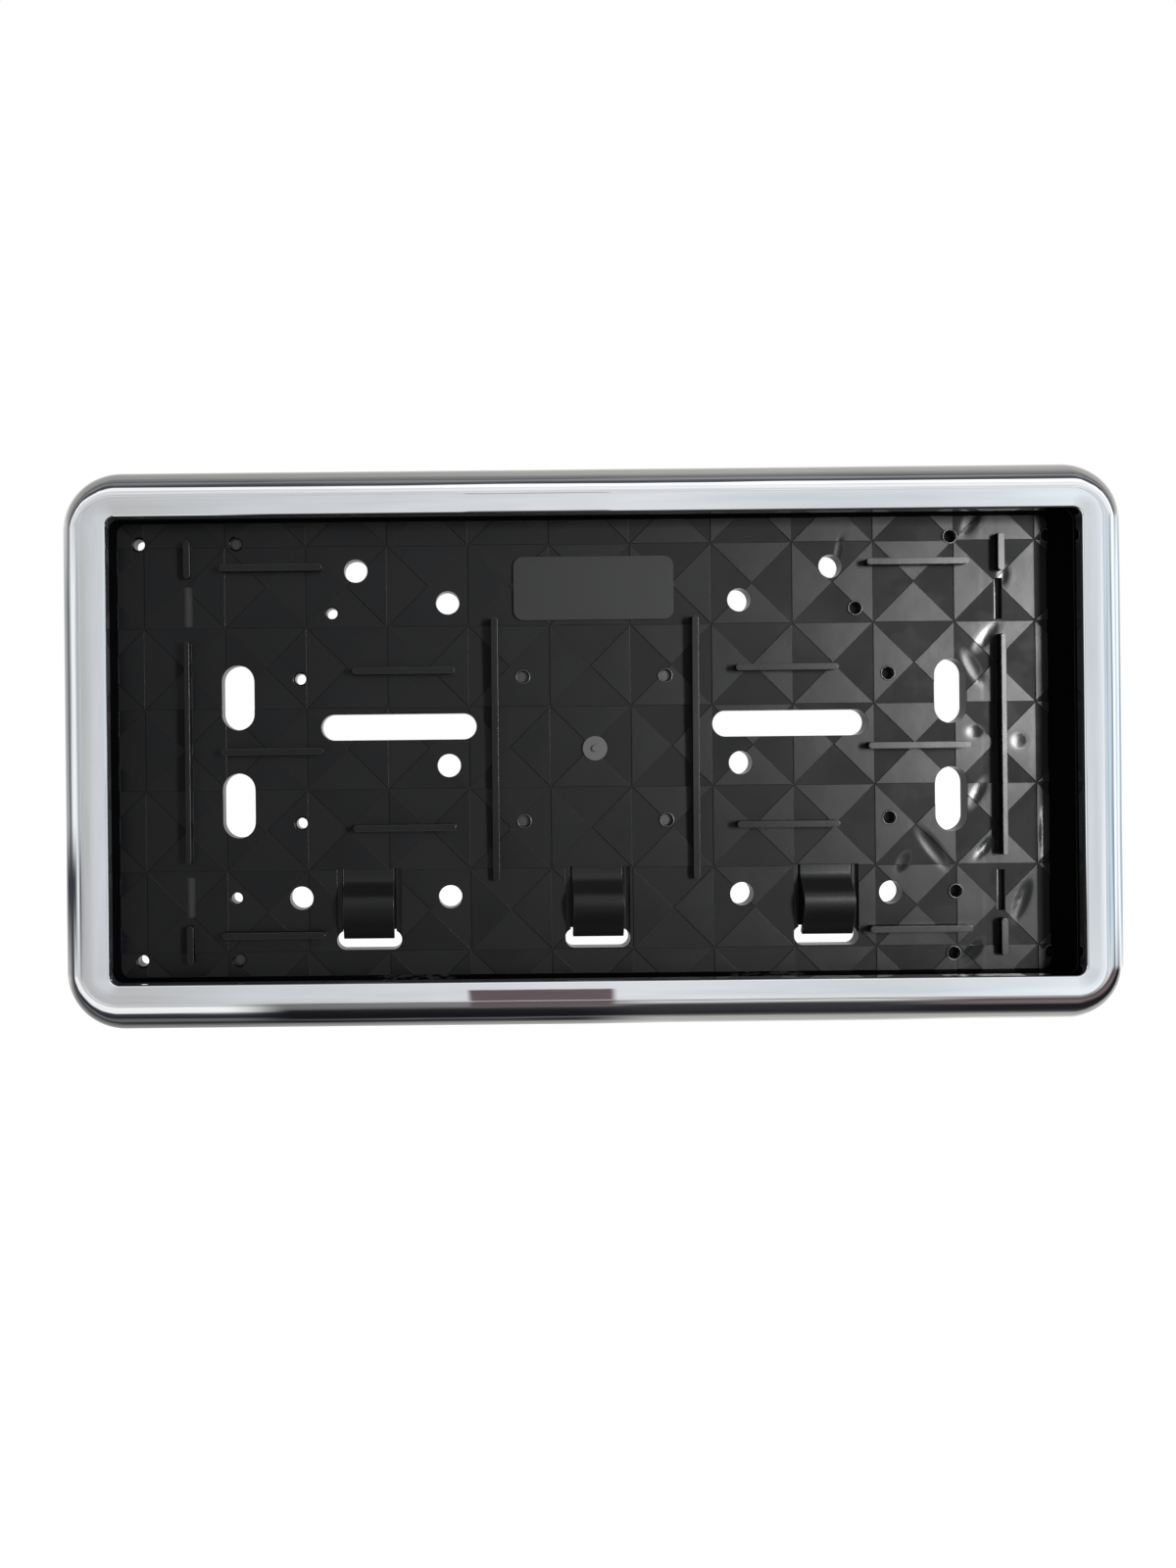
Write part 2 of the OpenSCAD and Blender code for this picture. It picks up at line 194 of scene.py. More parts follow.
def startMaterial(name, baseColour, roughness, metallic=0.0):
    material = bpy.data.materials.new(name)
    material.use_nodes = True
    material.diffuse_color = (*baseColour, 1)
    shader = material.node_tree.nodes["Principled BSDF"]
    shader.inputs["Base Color"].default_value = (*baseColour, 1)
    shader.inputs["Roughness"].default_value = roughness
    shader.inputs["Metallic"].default_value = metallic
    return material, material.node_tree, shader


def objectPlace(tree):
    return tree.nodes.new("ShaderNodeTexCoord").outputs["Object"]


def surfaceNormal(tree):
    return tree.nodes.new("ShaderNodeNewGeometry").outputs["Normal"]


def addBump(tree, height, normal=None):
    # heights are true ones in metres, so strength and distance stay at 1
    node = tree.nodes.new("ShaderNodeBump")
    node.inputs["Strength"].default_value = 1.0
    node.inputs["Distance"].default_value = 1.0
    setInput(tree, node.inputs["Height"], height)
    if normal is not None:
        tree.links.new(normal, node.inputs["Normal"])
    return node.outputs["Normal"]


# shared effects

waveLook = {
    "broadHeight": 0.05 * mm,
    "broadScale": 62.0,  # waves in a metre
    "smallHeight": 0.012 * mm,
    "smallScale": 190.0,
    "plainHeight": 0.02 * mm,  # the broad waves' height away from the floor
    "gainSpan": (20 * mm, 110 * mm),  # the waves grow between these places across
    "rightGain": 3.4,
    "sinkPlace": 122.2 * mm,  # a trough beside the right-hand end rib
    "sinkDepth": 0.02 * mm,
    "sinkWidth": 3.2 * mm,
}


def makeMouldWaves():
    tree, start, end = startGroup(
        "mouldWaves",
        [("Vector", "vector", None), ("Wave Height", "value", waveLook["broadHeight"]),
         ("Sink Depth", "value", waveLook["sinkDepth"])],
        [("Height", "value")])
    place = start.outputs["Vector"]
    across = splitVector(tree, place)[0]
    broad = addMath(tree, "SUBTRACT", addNoise(tree, place, waveLook["broadScale"], 1.0), 0.5)
    small = addMath(tree, "SUBTRACT", addNoise(tree, place, waveLook["smallScale"]), 0.5)
    waves = addMath(tree, "MULTIPLY", broad, start.outputs["Wave Height"])
    waves = addMath(tree, "ADD", waves, addMath(tree, "MULTIPLY", small, waveLook["smallHeight"]))
    gain = addRange(tree, across, *waveLook["gainSpan"], 1.0, waveLook["rightGain"], True)
    waves = addMath(tree, "MULTIPLY", waves, gain)
    away = addMath(tree, "ABSOLUTE", addMath(tree, "SUBTRACT", across, waveLook["sinkPlace"]))
    trough = addRange(tree, away, waveLook["sinkWidth"] * 0.5, waveLook["sinkWidth"], 1.0, 0.0, True)
    depth = addMath(tree, "MULTIPLY", trough, start.outputs["Sink Depth"])
    tree.links.new(addMath(tree, "SUBTRACT", waves, depth), end.inputs["Height"])
    return tree


def makeFineGrain():
    tree, start, end = startGroup(
        "fineGrain",
        [("Vector", "vector", None), ("Scale", "value", 2600.0), ("Height", "value", 0.004 * mm)],
        [("Height", "value"), ("Mask", "value")])
    speckle = addNoise(tree, start.outputs["Vector"], start.outputs["Scale"], 3.0, 0.6)
    tree.links.new(addMath(tree, "MULTIPLY", speckle, start.outputs["Height"]), end.inputs["Height"])
    tree.links.new(speckle, end.inputs["Mask"])
    return tree


def makeCloudTone():
    tree, start, end = startGroup(
        "cloudTone",
        [("Vector", "vector", None), ("Scale", "value", 40.0), ("Amount", "value", 0.2)],
        [("Mask", "value")])
    cloud = addNoise(tree, start.outputs["Vector"], start.outputs["Scale"], 4.0, 0.55)
    swing = addMath(tree, "MULTIPLY", addMath(tree, "SUBTRACT", cloud, 0.5), start.outputs["Amount"])
    tree.links.new(addMath(tree, "ADD", swing, 1.0), end.inputs["Mask"])
    return tree


mouldWaves = makeMouldWaves()
fineGrain = makeFineGrain()
cloudTone = makeCloudTone()

# black plastic: matte and satin triangles on the floor, plainer finishes elsewhere, and painted shade on the
# side walls

plasticLook = {
    "land": {"colour": (0.0028, 0.0029, 0.0032), "roughness": 0.38, "level": 0.19},
    "gap": {"colour": (0.0038, 0.0039, 0.0042), "roughness": 0.64, "level": 0.135},
    # the edge colours below are painted highlights along the rounded edges of ribs and rims
    "plain": {"colour": (0.0022, 0.0023, 0.0025), "roughness": 0.30, "level": 0.28, "edge": 0.35 * mm,
              "edgeHighlightColour": (0.030, 0.0295, 0.029)},
    # painted shade: the wall finish is darker and barely reflective, standing in for the shade on the tray's
    # side walls
    "wall": {"colour": (0.0010, 0.0011, 0.0013), "roughness": 0.34, "level": 0.03, "ior": 1.15},
    "plaque": {"colour": (0.0105, 0.0107, 0.0112), "roughness": 0.55, "level": 0.20},
    "gate": {"colour": (0.030, 0.030, 0.030), "roughness": 0.50, "level": 0.40},
    # painted shade: the skin tone colours the dark sheets that stand in for the shade behind the tongues and
    # strap slots; its edge colour is a painted highlight on the pilot rims
    "skin": {"colour": (0.0060, 0.0060, 0.0062), "roughness": 0.36, "level": 0.60, "edge": 0.25 * mm,
             "edgeHighlightColour": (0.055, 0.053, 0.051)},
    "edge": 0.22 * mm,  # how far an edge is rounded where its finish doesn't say
    "ior": 1.5,
    "cloudScale": 38.0,
    "cloudAmount": 0.5,
    "drawnRoughness": 0.40,  # what is left of the roughness where the moulding has drawn in
    "drawnScale": 95.0,
    "rightSpan": (30 * mm, 120 * mm),  # drawn patches grow between these places across
    "rightShine": 0.16,
}

# soft hollows beside the ribs and slots, where the moulding has drawn in and shines: x, z, long and
# short half widths in mm, turn in degrees, depth in mm
hollowList = {
    "upperCorner": (117.0, 69.0, 9.0, 4.0, 60, 0.16),
    "strapTop": (126.5, 52.0, 6.0, 3.0, 80, 0.16),
    "ribTopLeft": (121.0, 33.0, 10.0, 3.5, 50, 0.19),
    "slotTop": (117.0, 24.0, 10.0, 3.5, 120, 0.19),
    "ribMiddleLeft": (117.5, 4.0, 4.5, 3.5, 0, 0.16),
    "ribMiddleRight": (131.0, 1.0, 4.0, 4.0, 0, 0.10),
    "slotFoot": (118.0, -15.0, 9.0, 3.5, 60, 0.19),
    "longFacet": (104.0, -32.0, 12.0, 3.5, 128, 0.19),
    "ribFootLeft": (120.0, -32.0, 8.0, 3.0, 50, 0.19),
    "loop": (131.5, -48.0, 12.0, 4.0, 70, 0.19),
    "wallStrip": (138.0, -28.0, 14.0, 2.0, 90, 0.13),
    "lowerCorner": (116.0, -64.0, 9.0, 3.5, 50, 0.16),
    "pilotRight": (95.0, -36.0, 6.0, 3.0, 60, 0.10),
    "boltUpper": (76.0, 60.0, 7.0, 2.0, 80, 0.08),
}
hollowLevel = 5.0 * mm  # the floor's level


def makeSoftHollow():
    tree, start, end = startGroup(
        "softHollow",
        [("Vector", "vector", None), ("Place", "vector", (0, 0, 0)), ("Turn", "value", 0.0),
         ("Half Width", "vector", (1, 1, 1)), ("Depth", "value", 0.1 * mm)],
        [("Height", "value"), ("Mask", "value")])
    turned = tree.nodes.new("ShaderNodeVectorRotate")
    turned.rotation_type = "Y_AXIS"
    tree.links.new(addVectorMath(tree, "SUBTRACT", start.outputs["Vector"], start.outputs["Place"]),
                   turned.inputs["Vector"])
    tree.links.new(start.outputs["Turn"], turned.inputs["Angle"])
    share = addVectorMath(tree, "DIVIDE", turned.outputs[0], start.outputs["Half Width"])
    mask = addRange(tree, addVectorMath(tree, "LENGTH", share), 0.0, 1.0, 1.0, 0.0, True)
    tree.links.new(mask, end.inputs["Mask"])
    tree.links.new(addMath(tree, "MULTIPLY", mask, start.outputs["Depth"]), end.inputs["Height"])
    return tree


softHollow = makeSoftHollow()


def addHollows(tree, place):
    height, mask = None, None
    for x, z, long, short, turn, depth in hollowList.values():
        one = placeGroup(tree, softHollow, {
            "Vector": place, "Place": (x * mm, -hollowLevel, z * mm), "Turn": math.radians(turn),
            "Half Width": (long * mm, 1.0, short * mm), "Depth": depth * mm})
        if height is None:
            height, mask = one.outputs["Height"], one.outputs["Mask"]
        else:
            height = addMath(tree, "ADD", height, one.outputs["Height"])
            mask = addMath(tree, "MAXIMUM", mask, one.outputs["Mask"])
    return height, mask


# two rough grey patches of flash on the lower wall
flashLook = {
    "middles": (-56 * mm, 52 * mm),
    "halfWidth": 13 * mm,
    "heightSpan": (-71.4 * mm, -60 * mm),
    "fade": 1 * mm,
    "facing": (0.3, 0.5),  # only on faces that look up
    "scale": 420.0,
    "speckle": (0.42, 0.62),
    "colour": (0.030, 0.030, 0.029),
}


def addFlash(tree, place, tone):
    look = flashLook
    across, _, up = splitVector(tree, place)
    patches = 0.0
    for middle in look["middles"]:
        off = addMath(tree, "ABSOLUTE", addMath(tree, "SUBTRACT", across, middle))
        near = addRange(tree, off, look["halfWidth"] * 0.7, look["halfWidth"], 1.0, 0.0, True)
        patches = addMath(tree, "MAXIMUM", near, patches)
    foot, top = look["heightSpan"]
    low = addMath(tree, "MULTIPLY", addRange(tree, up, top, top + look["fade"], 1.0, 0.0),
                  addRange(tree, up, foot - look["fade"], foot, 0.0, 1.0))
    facing = addRange(tree, splitVector(tree, surfaceNormal(tree))[2], *look["facing"], 0.0, 1.0)
    speckle = addStep(tree, addNoise(tree, place, look["scale"], 3.0), *look["speckle"])
    mask = addMath(tree, "MULTIPLY", addMath(tree, "MULTIPLY", patches, low),
                   addMath(tree, "MULTIPLY", speckle, facing))
    return addMix(tree, mask, tone, (*look["colour"], 1))


def makePlastic(name, finish, onFloor=False):
    look = plasticLook[finish]
    material, tree, shader = startMaterial(name, look["colour"], look["roughness"])
    shader.inputs["Specular IOR Level"].default_value = look["level"]
    shader.inputs["IOR"].default_value = look.get("ior", plasticLook["ior"])
    place = objectPlace(tree)
    waves = placeGroup(tree, mouldWaves, {
        "Vector": place, "Wave Height": waveLook["broadHeight"] if onFloor else waveLook["plainHeight"],
        "Sink Depth": waveLook["sinkDepth"] if onFloor else 0.0})
    grain = placeGroup(tree, fineGrain, {"Vector": place})
    cloud = placeGroup(tree, cloudTone, {
        "Vector": place, "Scale": plasticLook["cloudScale"], "Amount": plasticLook["cloudAmount"]})
    tone = addMix(tree, 1.0, (*look["colour"], 1), cloud.outputs["Mask"], "MULTIPLY")
    if finish == "wall":
        tone = addFlash(tree, place, tone)
    rough = addMath(tree, "MULTIPLY", addRange(tree, grain.outputs["Mask"], 0.3, 0.7, 0.94, 1.06),
                    look["roughness"])
    rough = addMath(tree, "MULTIPLY", rough, cloud.outputs["Mask"])
    height = addMath(tree, "ADD", waves.outputs["Height"], grain.outputs["Height"])
    if onFloor:
        dip, shine = addHollows(tree, place)
        height = addMath(tree, "SUBTRACT", height, dip)
        right = addRange(tree, splitVector(tree, place)[0], *plasticLook["rightSpan"], 0.0,
                         plasticLook["rightShine"], True)
        drawn = addStep(tree, addNoise(tree, place, plasticLook["drawnScale"]), 0.5, 0.62)
        shine = addMath(tree, "MAXIMUM", addStep(tree, shine, 0.0, 0.6),
                        addMath(tree, "MULTIPLY", right, drawn))
        rough = addMath(tree, "MULTIPLY", rough,
                        addRange(tree, shine, 0.0, 1.0, 1.0, plasticLook["drawnRoughness"]))
    soft = tree.nodes.new("ShaderNodeBevel")
    soft.samples = 4
    soft.inputs["Radius"].default_value = look.get("edge", plasticLook["edge"])
    if "edgeHighlightColour" in look:
        # painted highlight: edges that the rounding turns are painted paler, standing in for the light they
        # catch
        turn = addVectorMath(tree, "DOT_PRODUCT", soft.outputs["Normal"], surfaceNormal(tree))
        tone = addMix(tree, addStep(tree, turn, 0.99, 0.86), tone, (*look["edgeHighlightColour"], 1))
    tree.links.new(tone, shader.inputs["Base Color"])
    tree.links.new(rough, shader.inputs["Roughness"])
    tree.links.new(addBump(tree, height, soft.outputs["Normal"]), shader.inputs["Normal"])
    return material


gapPlastic = makePlastic("blackPlasticMatte", "gap", True)
landPlastic = makePlastic("blackPlasticSatin", "land", True)
plainPlastic = makePlastic("blackPlasticPlain", "plain")
shadedWallPlastic = makePlastic("blackPlasticShadedWall", "wall")
plaquePlastic = makePlastic("blackPlasticPlaque", "plaque")
skinPlastic = makePlastic("blackPlasticSkin", "skin")
gatePlastic = makePlastic("blackPlasticGate", "gate")

# bright plating

platingLook = {
    "colour": (0.90, 0.905, 0.915),
    "roughness": 0.018,
    "backRoughness": 0.32,  # on faces that look back, which the plating covers thinly
    "backFacing": (0.1, 0.6),
    "rippleHeight": 0.012 * mm,
    "rippleScale": 75.0,
    "cloudScale": 90.0,
    "cloudAmount": 0.5,
}


def makePlating():
    look = platingLook
    material, tree, shader = startMaterial("chromePlating", look["colour"], look["roughness"], 1.0)
    place = objectPlace(tree)
    ripple = addMath(tree, "MULTIPLY", addNoise(tree, place, look["rippleScale"]), look["rippleHeight"])
    tree.links.new(addBump(tree, ripple), shader.inputs["Normal"])
    back = splitVector(tree, surfaceNormal(tree))[1]
    rough = addRange(tree, back, *look["backFacing"], look["roughness"], look["backRoughness"], True)
    cloud = placeGroup(tree, cloudTone, {
        "Vector": place, "Scale": look["cloudScale"], "Amount": look["cloudAmount"]})
    tree.links.new(addMath(tree, "MULTIPLY", rough, cloud.outputs["Mask"]), shader.inputs["Roughness"])
    return material


plating = makePlating()
print("materials made")


# tray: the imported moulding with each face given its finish

trayLevels = {
    "floor": 5.0 * mm,
    "land": 5.2 * mm,
    "plaque": 5.6 * mm,
    "margin": 0.06 * mm,
    "wallWidth": 22 * mm,
    "gateReach": 5 * mm,
    # upright ribs that stand lower than in the solids, so that their shadows are as wide as the photo's:
    # across from and to, foot, top, and the share of their height that is left
    "lowRibs": ((123.5 * mm, 126.5 * mm, -100 * mm, 100 * mm, 0.78),
                (29 * mm, 37 * mm, -50 * mm, 39 * mm, 0.6)),
    "ribFrom": 5.3 * mm,
    "joinDistance": 0.002 * mm,
    "sharpAngle": 28,
}


def isWall(spot, normal):
    inside = min(spot.x - trayLow.x, trayHigh.x - spot.x, spot.z - trayLow.z, trayHigh.z - spot.z)
    return normal.y > -0.9 and inside < trayLevels["wallWidth"] and -spot.y > trayLevels["floor"]


def finishOf(spot, normal):
    # which of the tray's materials a face takes
    level = -spot.y
    margin = trayLevels["margin"]
    if math.hypot(spot.x, spot.z) < trayLevels["gateReach"] and level > trayLevels["land"] + margin:
        return gatePlastic
    if normal.y < -0.9:
        for name, plastic in (("floor", gapPlastic), ("land", landPlastic), ("plaque", plaquePlastic)):
            if abs(level - trayLevels[name]) < margin:
                return plastic
    return shadedWallPlastic if isWall(spot, normal) else plainPlastic


def makeTray():
    source = frame["nodes"]["tray"].data
    mesh = bpy.data.meshes.new("trayMoulding")
    mesh.from_pydata([v.co.copy() for v in source.vertices], [],
                     [list(p.vertices) for p in source.polygons])
    tray = bpy.data.objects.new("trayMoulding", mesh)
    scene.collection.objects.link(tray)
    finishes = [plainPlastic, gapPlastic, landPlastic, shadedWallPlastic, plaquePlastic, gatePlastic]
    for material in finishes:
        mesh.materials.append(material)
    work = bmesh.new()
    work.from_mesh(mesh)
    bmesh.ops.remove_doubles(work, verts=work.verts, dist=trayLevels["joinDistance"])
    for vert in work.verts:
        level, across = -vert.co.y, abs(vert.co.x)
        for start, stop, foot, top, share in trayLevels["lowRibs"]:
            if level >= trayLevels["ribFrom"] and start < across < stop and foot < vert.co.z < top:
                vert.co.y = -(trayLevels["floor"] + (level - trayLevels["floor"]) * share)
    bmesh.ops.recalc_face_normals(work, faces=work.faces)
    for face in work.faces:
        face.material_index = finishes.index(finishOf(face.calc_center_median(), face.normal))
        face.smooth = True
    work.to_mesh(mesh)
    work.free()
    mesh.set_sharp_from_angle(angle=math.radians(trayLevels["sharpAngle"]))
    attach(tray, "root")
    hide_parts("tray")


makeTray()
print("tray finished")

# painted shade: thin dark sheets behind each spring tongue, so that only the gap below its tip can be seen
# through, and at the foot of the strap slots, standing in for the shade seen through these narrow openings;
# and dark discs that close the foot of the listed pilots (x, z, level in mm)
skinSizes = {
    "thickness": 0.5,
    "tongues": (-70.2, 0.4, 71.0),
    "tongueWidth": 16.5,
    "tongueFoot": -55.9,
    "tongueTop": -36.55,
    "tongueLevel": 0.3,
    "straps": ((-125, 45, 3.7), (-125, -45, 3.7), (125, 45, 2.6), (125, -45, 2.6)),
    "strapWidth": 2.6,
    "strapLength": 12.8,
    "pilots": ((-22, 22.3, 3.6), (-22, -22.3, 3.6), (22, 22.3, 3.6), (22, -22.3, 3.6),
               (90.7, 22.3, 1.0), (90.7, -22.3, 1.0), (80.8, 42.5, 1.0), (111, -45.2, 1.0),
               (110.2, 64.3, 1.0), (110.2, -64.3, 1.0), (140.2, 64.3, 1.0), (140.2, -64.3, 1.0),
               (-110.2, 64.3, 3.2), (-110.2, -64.3, 3.2)),
    "pilotRadius": 1.72,
    "rimsFrom": -100,  # pilots further left have no rim
    "rimGap": 0.15,
    "rimWidth": 0.45,
    "rimHeight": 0.22,
    "roundSteps": 24,
    "sharpAngle": 50,
}


def addBlock(work, x, z, width, height, level):
    made = bmesh.ops.create_cube(work, size=1)["verts"]
    bmesh.ops.scale(work, verts=made, vec=(width * mm, skinSizes["thickness"] * mm, height * mm))
    bmesh.ops.translate(work, verts=made, vec=(x * mm, -(level + skinSizes["thickness"] / 2) * mm, z * mm))


def addTurned(work, x, z, profile):
    # a closed profile of (radius, level) points turned round a pilot's axis
    steps = skinSizes["roundSteps"]
    rings = []
    for i in range(steps):
        a = 2 * math.pi * i / steps
        rings.append([work.verts.new(((x + r * math.cos(a)) * mm, -level * mm, (z + r * math.sin(a)) * mm))
                      for r, level in profile])
    for i, ring in enumerate(rings):
        after = rings[(i + 1) % steps]
        for j in range(len(profile)):
            k = (j + 1) % len(profile)
            work.faces.new((ring[j], ring[k], after[k], after[j])).smooth = True


def makeSkins():
    s = skinSizes
    work = bmesh.new()
    for middle in s["tongues"]:
        addBlock(work, middle, (s["tongueTop"] + s["tongueFoot"]) / 2, s["tongueWidth"],
                 s["tongueTop"] - s["tongueFoot"], s["tongueLevel"])
    for x, z, level in s["straps"]:
        addBlock(work, x, z, s["strapWidth"], s["strapLength"], level)
    floor = trayLevels["land"] / mm
    inner = s["pilotRadius"] + s["rimGap"]
    outer, top = inner + s["rimWidth"], floor + s["rimHeight"]
    for x, z, level in s["pilots"]:
        made = bmesh.ops.create_cone(work, cap_ends=True, segments=s["roundSteps"], depth=s["thickness"] * mm,
                                     radius1=s["pilotRadius"] * mm, radius2=s["pilotRadius"] * mm)["verts"]
        bmesh.ops.rotate(work, verts=made, matrix=Matrix.Rotation(math.radians(90), 3, "X"))
        bmesh.ops.translate(work, verts=made, vec=(x * mm, -(level + s["thickness"] / 2) * mm, z * mm))
        if x > s["rimsFrom"]:
            addTurned(work, x, z, ((inner, floor - 0.3), (inner + 0.03, top - 0.08), (inner + 0.12, top),
                                   (outer - 0.12, top), (outer, top - 0.1), (outer + 0.12, floor - 0.3)))
    bmesh.ops.recalc_face_normals(work, faces=work.faces)
    mesh = bpy.data.meshes.new("shadeSkins")
    work.to_mesh(mesh)
    work.free()
    mesh.materials.append(skinPlastic)
    mesh.set_sharp_from_angle(angle=math.radians(s["sharpAngle"]))
    skins = bpy.data.objects.new("shadeSkins", mesh)
    scene.collection.objects.link(skins)
    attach(skins, "root")


makeSkins()
print("skins laid")


# surround: one plated moulding swept round the window

surroundSizes = {
    "frontWidth": 15.0 * mm,
    "grooveWidth": 0.5 * mm,
    "grooveDepth": 0.35 * mm,
    "shoulderWidth": {"right": 8.8 * mm, "top": 8.8 * mm, "left": 7.2 * mm, "bottom": 8.9 * mm},
    "shoulderHeight": 10.8 * mm,
    "shell": 1.6 * mm,
    "windowRadius": 3 * mm,
    "crown": 0.35 * mm,
    "lipEdge": 0.7 * mm,
    "lipDepth": 3.9 * mm,
    "footEdge": 0.3 * mm,
    "lugsAcross": (-110, 0, 110),
    "lugsUp": (-42, 42),
    "lugTop": 7.3 * mm,
    "lugHeight": 3.6 * mm,
    "lugReach": 1.5 * mm,
    "lugLength": 12 * mm,
    "lugLand": 0.8 * mm,
    "cornerSteps": 20,
    "lipSteps": 8,
    "crownSteps": 12,
    "grooveSteps": 8,
    "shoulderSteps": 30,
    "sharpAngle": 40,
}


def arcPoints(centre, radii, start, stop, steps):
    found = []
    for i in range(steps + 1):
        a = math.radians(start + (stop - start) * i / steps)
        found.append((centre[0] + radii[0] * math.cos(a), centre[1] + radii[1] * math.sin(a)))
    return found


def surroundSection(way):
    # the surround's section, as points of (distance out from the window, level), for one way out from it
    s = surroundSizes
    sides = (("right", max(way[0], 0)), ("left", max(-way[0], 0)),
             ("top", max(way[1], 0)), ("bottom", max(-way[1], 0)))
    shoulder = sum(s["shoulderWidth"][side] * part * part for side, part in sides)
    band = s["frontWidth"] - shoulder - s["grooveWidth"]
    front = -surroundLow.y
    foot = -surroundHigh.y
    bandFront = front - s["crown"]
    bandBack = bandFront - s["shell"]
    shoulderIn = band + s["grooveWidth"]
    shoulderLevel = front - s["shoulderHeight"]
    lipFoot = bandFront - s["lipDepth"]
    edge = s["lipEdge"]
    points = [(0.0, lipFoot)]
    points += arcPoints((edge, bandFront - edge), (edge, edge), 180, 90, s["lipSteps"])
    for i in range(1, s["crownSteps"] + 1):
        t = i / s["crownSteps"]
        points.append((edge + (band - edge) * t, bandFront + s["crown"] * math.sin(t * math.pi / 2)))
    for i in range(1, s["grooveSteps"]):
        t = i / s["grooveSteps"]
        points.append((band + s["grooveWidth"] * t, front - s["grooveDepth"] * math.sin(t * math.pi)))
    points += arcPoints((shoulderIn, shoulderLevel), (shoulder, s["shoulderHeight"]),
                        90, 0, s["shoulderSteps"])
    edge = s["footEdge"]
    points += arcPoints((s["frontWidth"] - edge, foot + edge), (edge, edge), 0, -90, 4)
    points += arcPoints((s["frontWidth"] - s["shell"] + edge, foot + edge), (edge, edge), -90, -180, 4)
    points += arcPoints((shoulderIn, shoulderLevel), (shoulder - s["shell"], bandBack - shoulderLevel),
                        0, 90, s["shoulderSteps"] // 2)
    points += [(s["shell"], bandBack), (s["shell"], lipFoot + edge)]
    points += arcPoints((s["shell"] - edge, lipFoot + edge), (edge, edge), 0, -90, 3)[1:]
    return points


def addLugs(work, middle, windowWidth, windowHeight):
    # snap lugs inside the skirt, which catch behind the tray's flange
    s = surroundSizes
    wall = s["frontWidth"] - s["shell"]
    places = [(along * mm, side * (windowHeight / 2 + wall), 0, side)
              for along in s["lugsAcross"] for side in (1, -1)]
    places += [(side * (windowWidth / 2 + wall), along * mm, side, 0)
               for along in s["lugsUp"] for side in (1, -1)]
    section = ((0.2 * mm, s["lugTop"]), (-s["lugReach"], s["lugTop"]),
               (-s["lugReach"], s["lugTop"] - s["lugLand"]), (0.2 * mm, s["lugTop"] - s["lugHeight"]))
    for x, z, wayX, wayZ in places:
        ends = []
        for end in (-s["lugLength"] / 2, s["lugLength"] / 2):
            ends.append([work.verts.new((middle.x + x + wayX * out + abs(wayZ) * end, -level,
                                         middle.z + z + wayZ * out + abs(wayX) * end))
                         for out, level in section])
        work.faces.new(ends[0])
        work.faces.new(ends[1])
        for j in range(4):
            k = (j + 1) % 4
            work.faces.new((ends[0][j], ends[0][k], ends[1][k], ends[1][j]))


def makeSurround():
    s = surroundSizes
    middle = (surroundLow + surroundHigh) / 2
    windowWidth = surroundHigh.x - surroundLow.x - 2 * s["frontWidth"]
    windowHeight = surroundHigh.z - surroundLow.z - 2 * s["frontWidth"]
    radius = s["windowRadius"]
    rings = []
    for corner in range(4):
        sideX = 1 if corner in (0, 3) else -1
        sideZ = 1 if corner in (0, 1) else -1
        centre = (middle.x + sideX * (windowWidth / 2 - radius),
                  middle.z + sideZ * (windowHeight / 2 - radius))
        for step in range(s["cornerSteps"] + 1):
            a = math.radians(90 * corner + 90 * step / s["cornerSteps"])
            rings.append((centre, (math.cos(a), math.sin(a))))
    work = bmesh.new()
    loops = []
    for centre, way in rings:
        loops.append([work.verts.new((centre[0] + way[0] * (radius + out), -level,
                                      centre[1] + way[1] * (radius + out)))
                      for out, level in surroundSection(way)])
    count = len(loops[0])
    for i, loop in enumerate(loops):
        after = loops[(i + 1) % len(loops)]
        for j in range(count):
            k = (j + 1) % count
            work.faces.new((loop[j], loop[k], after[k], after[j])).smooth = True
    addLugs(work, middle, windowWidth, windowHeight)
    bmesh.ops.recalc_face_normals(work, faces=work.faces)
    mesh = bpy.data.meshes.new("surround")
    work.to_mesh(mesh)
    work.free()
    mesh.materials.append(plating)
    mesh.set_sharp_from_angle(angle=math.radians(s["sharpAngle"]))
    surround = bpy.data.objects.new("surround", mesh)
    scene.collection.objects.link(surround)
    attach(surround, "root")
    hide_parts("chrome_frame")
    return surround


surround = makeSurround()
print("surround swept")


# floor, world and lights

studioLook = {
    "floorTone": (0.2, 0.2, 0.2),
    "floorGlow": 1.0,
    "floorDrop": 0.2 * mm,
    "floorSize": 6.0,
}


def makeFloor():
    half = studioLook["floorSize"] / 2
    level = surroundLow.z - studioLook["floorDrop"]
    mesh = bpy.data.meshes.new("studioFloor")
    mesh.from_pydata([(-half, -half, level), (half, -half, level), (half, half, level), (-half, half, level)],
                     [], [(0, 1, 2, 3)])
    floor = bpy.data.objects.new("studioFloor", mesh)
    scene.collection.objects.link(floor)
    material, _, shader = startMaterial("paleFloor", studioLook["floorTone"], 0.9)
    shader.inputs["Specular IOR Level"].default_value = 0.0
    shader.inputs["Emission Color"].default_value = (1, 1, 1, 1)
    shader.inputs["Emission Strength"].default_value = studioLook["floorGlow"]
    mesh.materials.append(material)
    floor.visible_glossy = False  # the plating mirrors the room instead


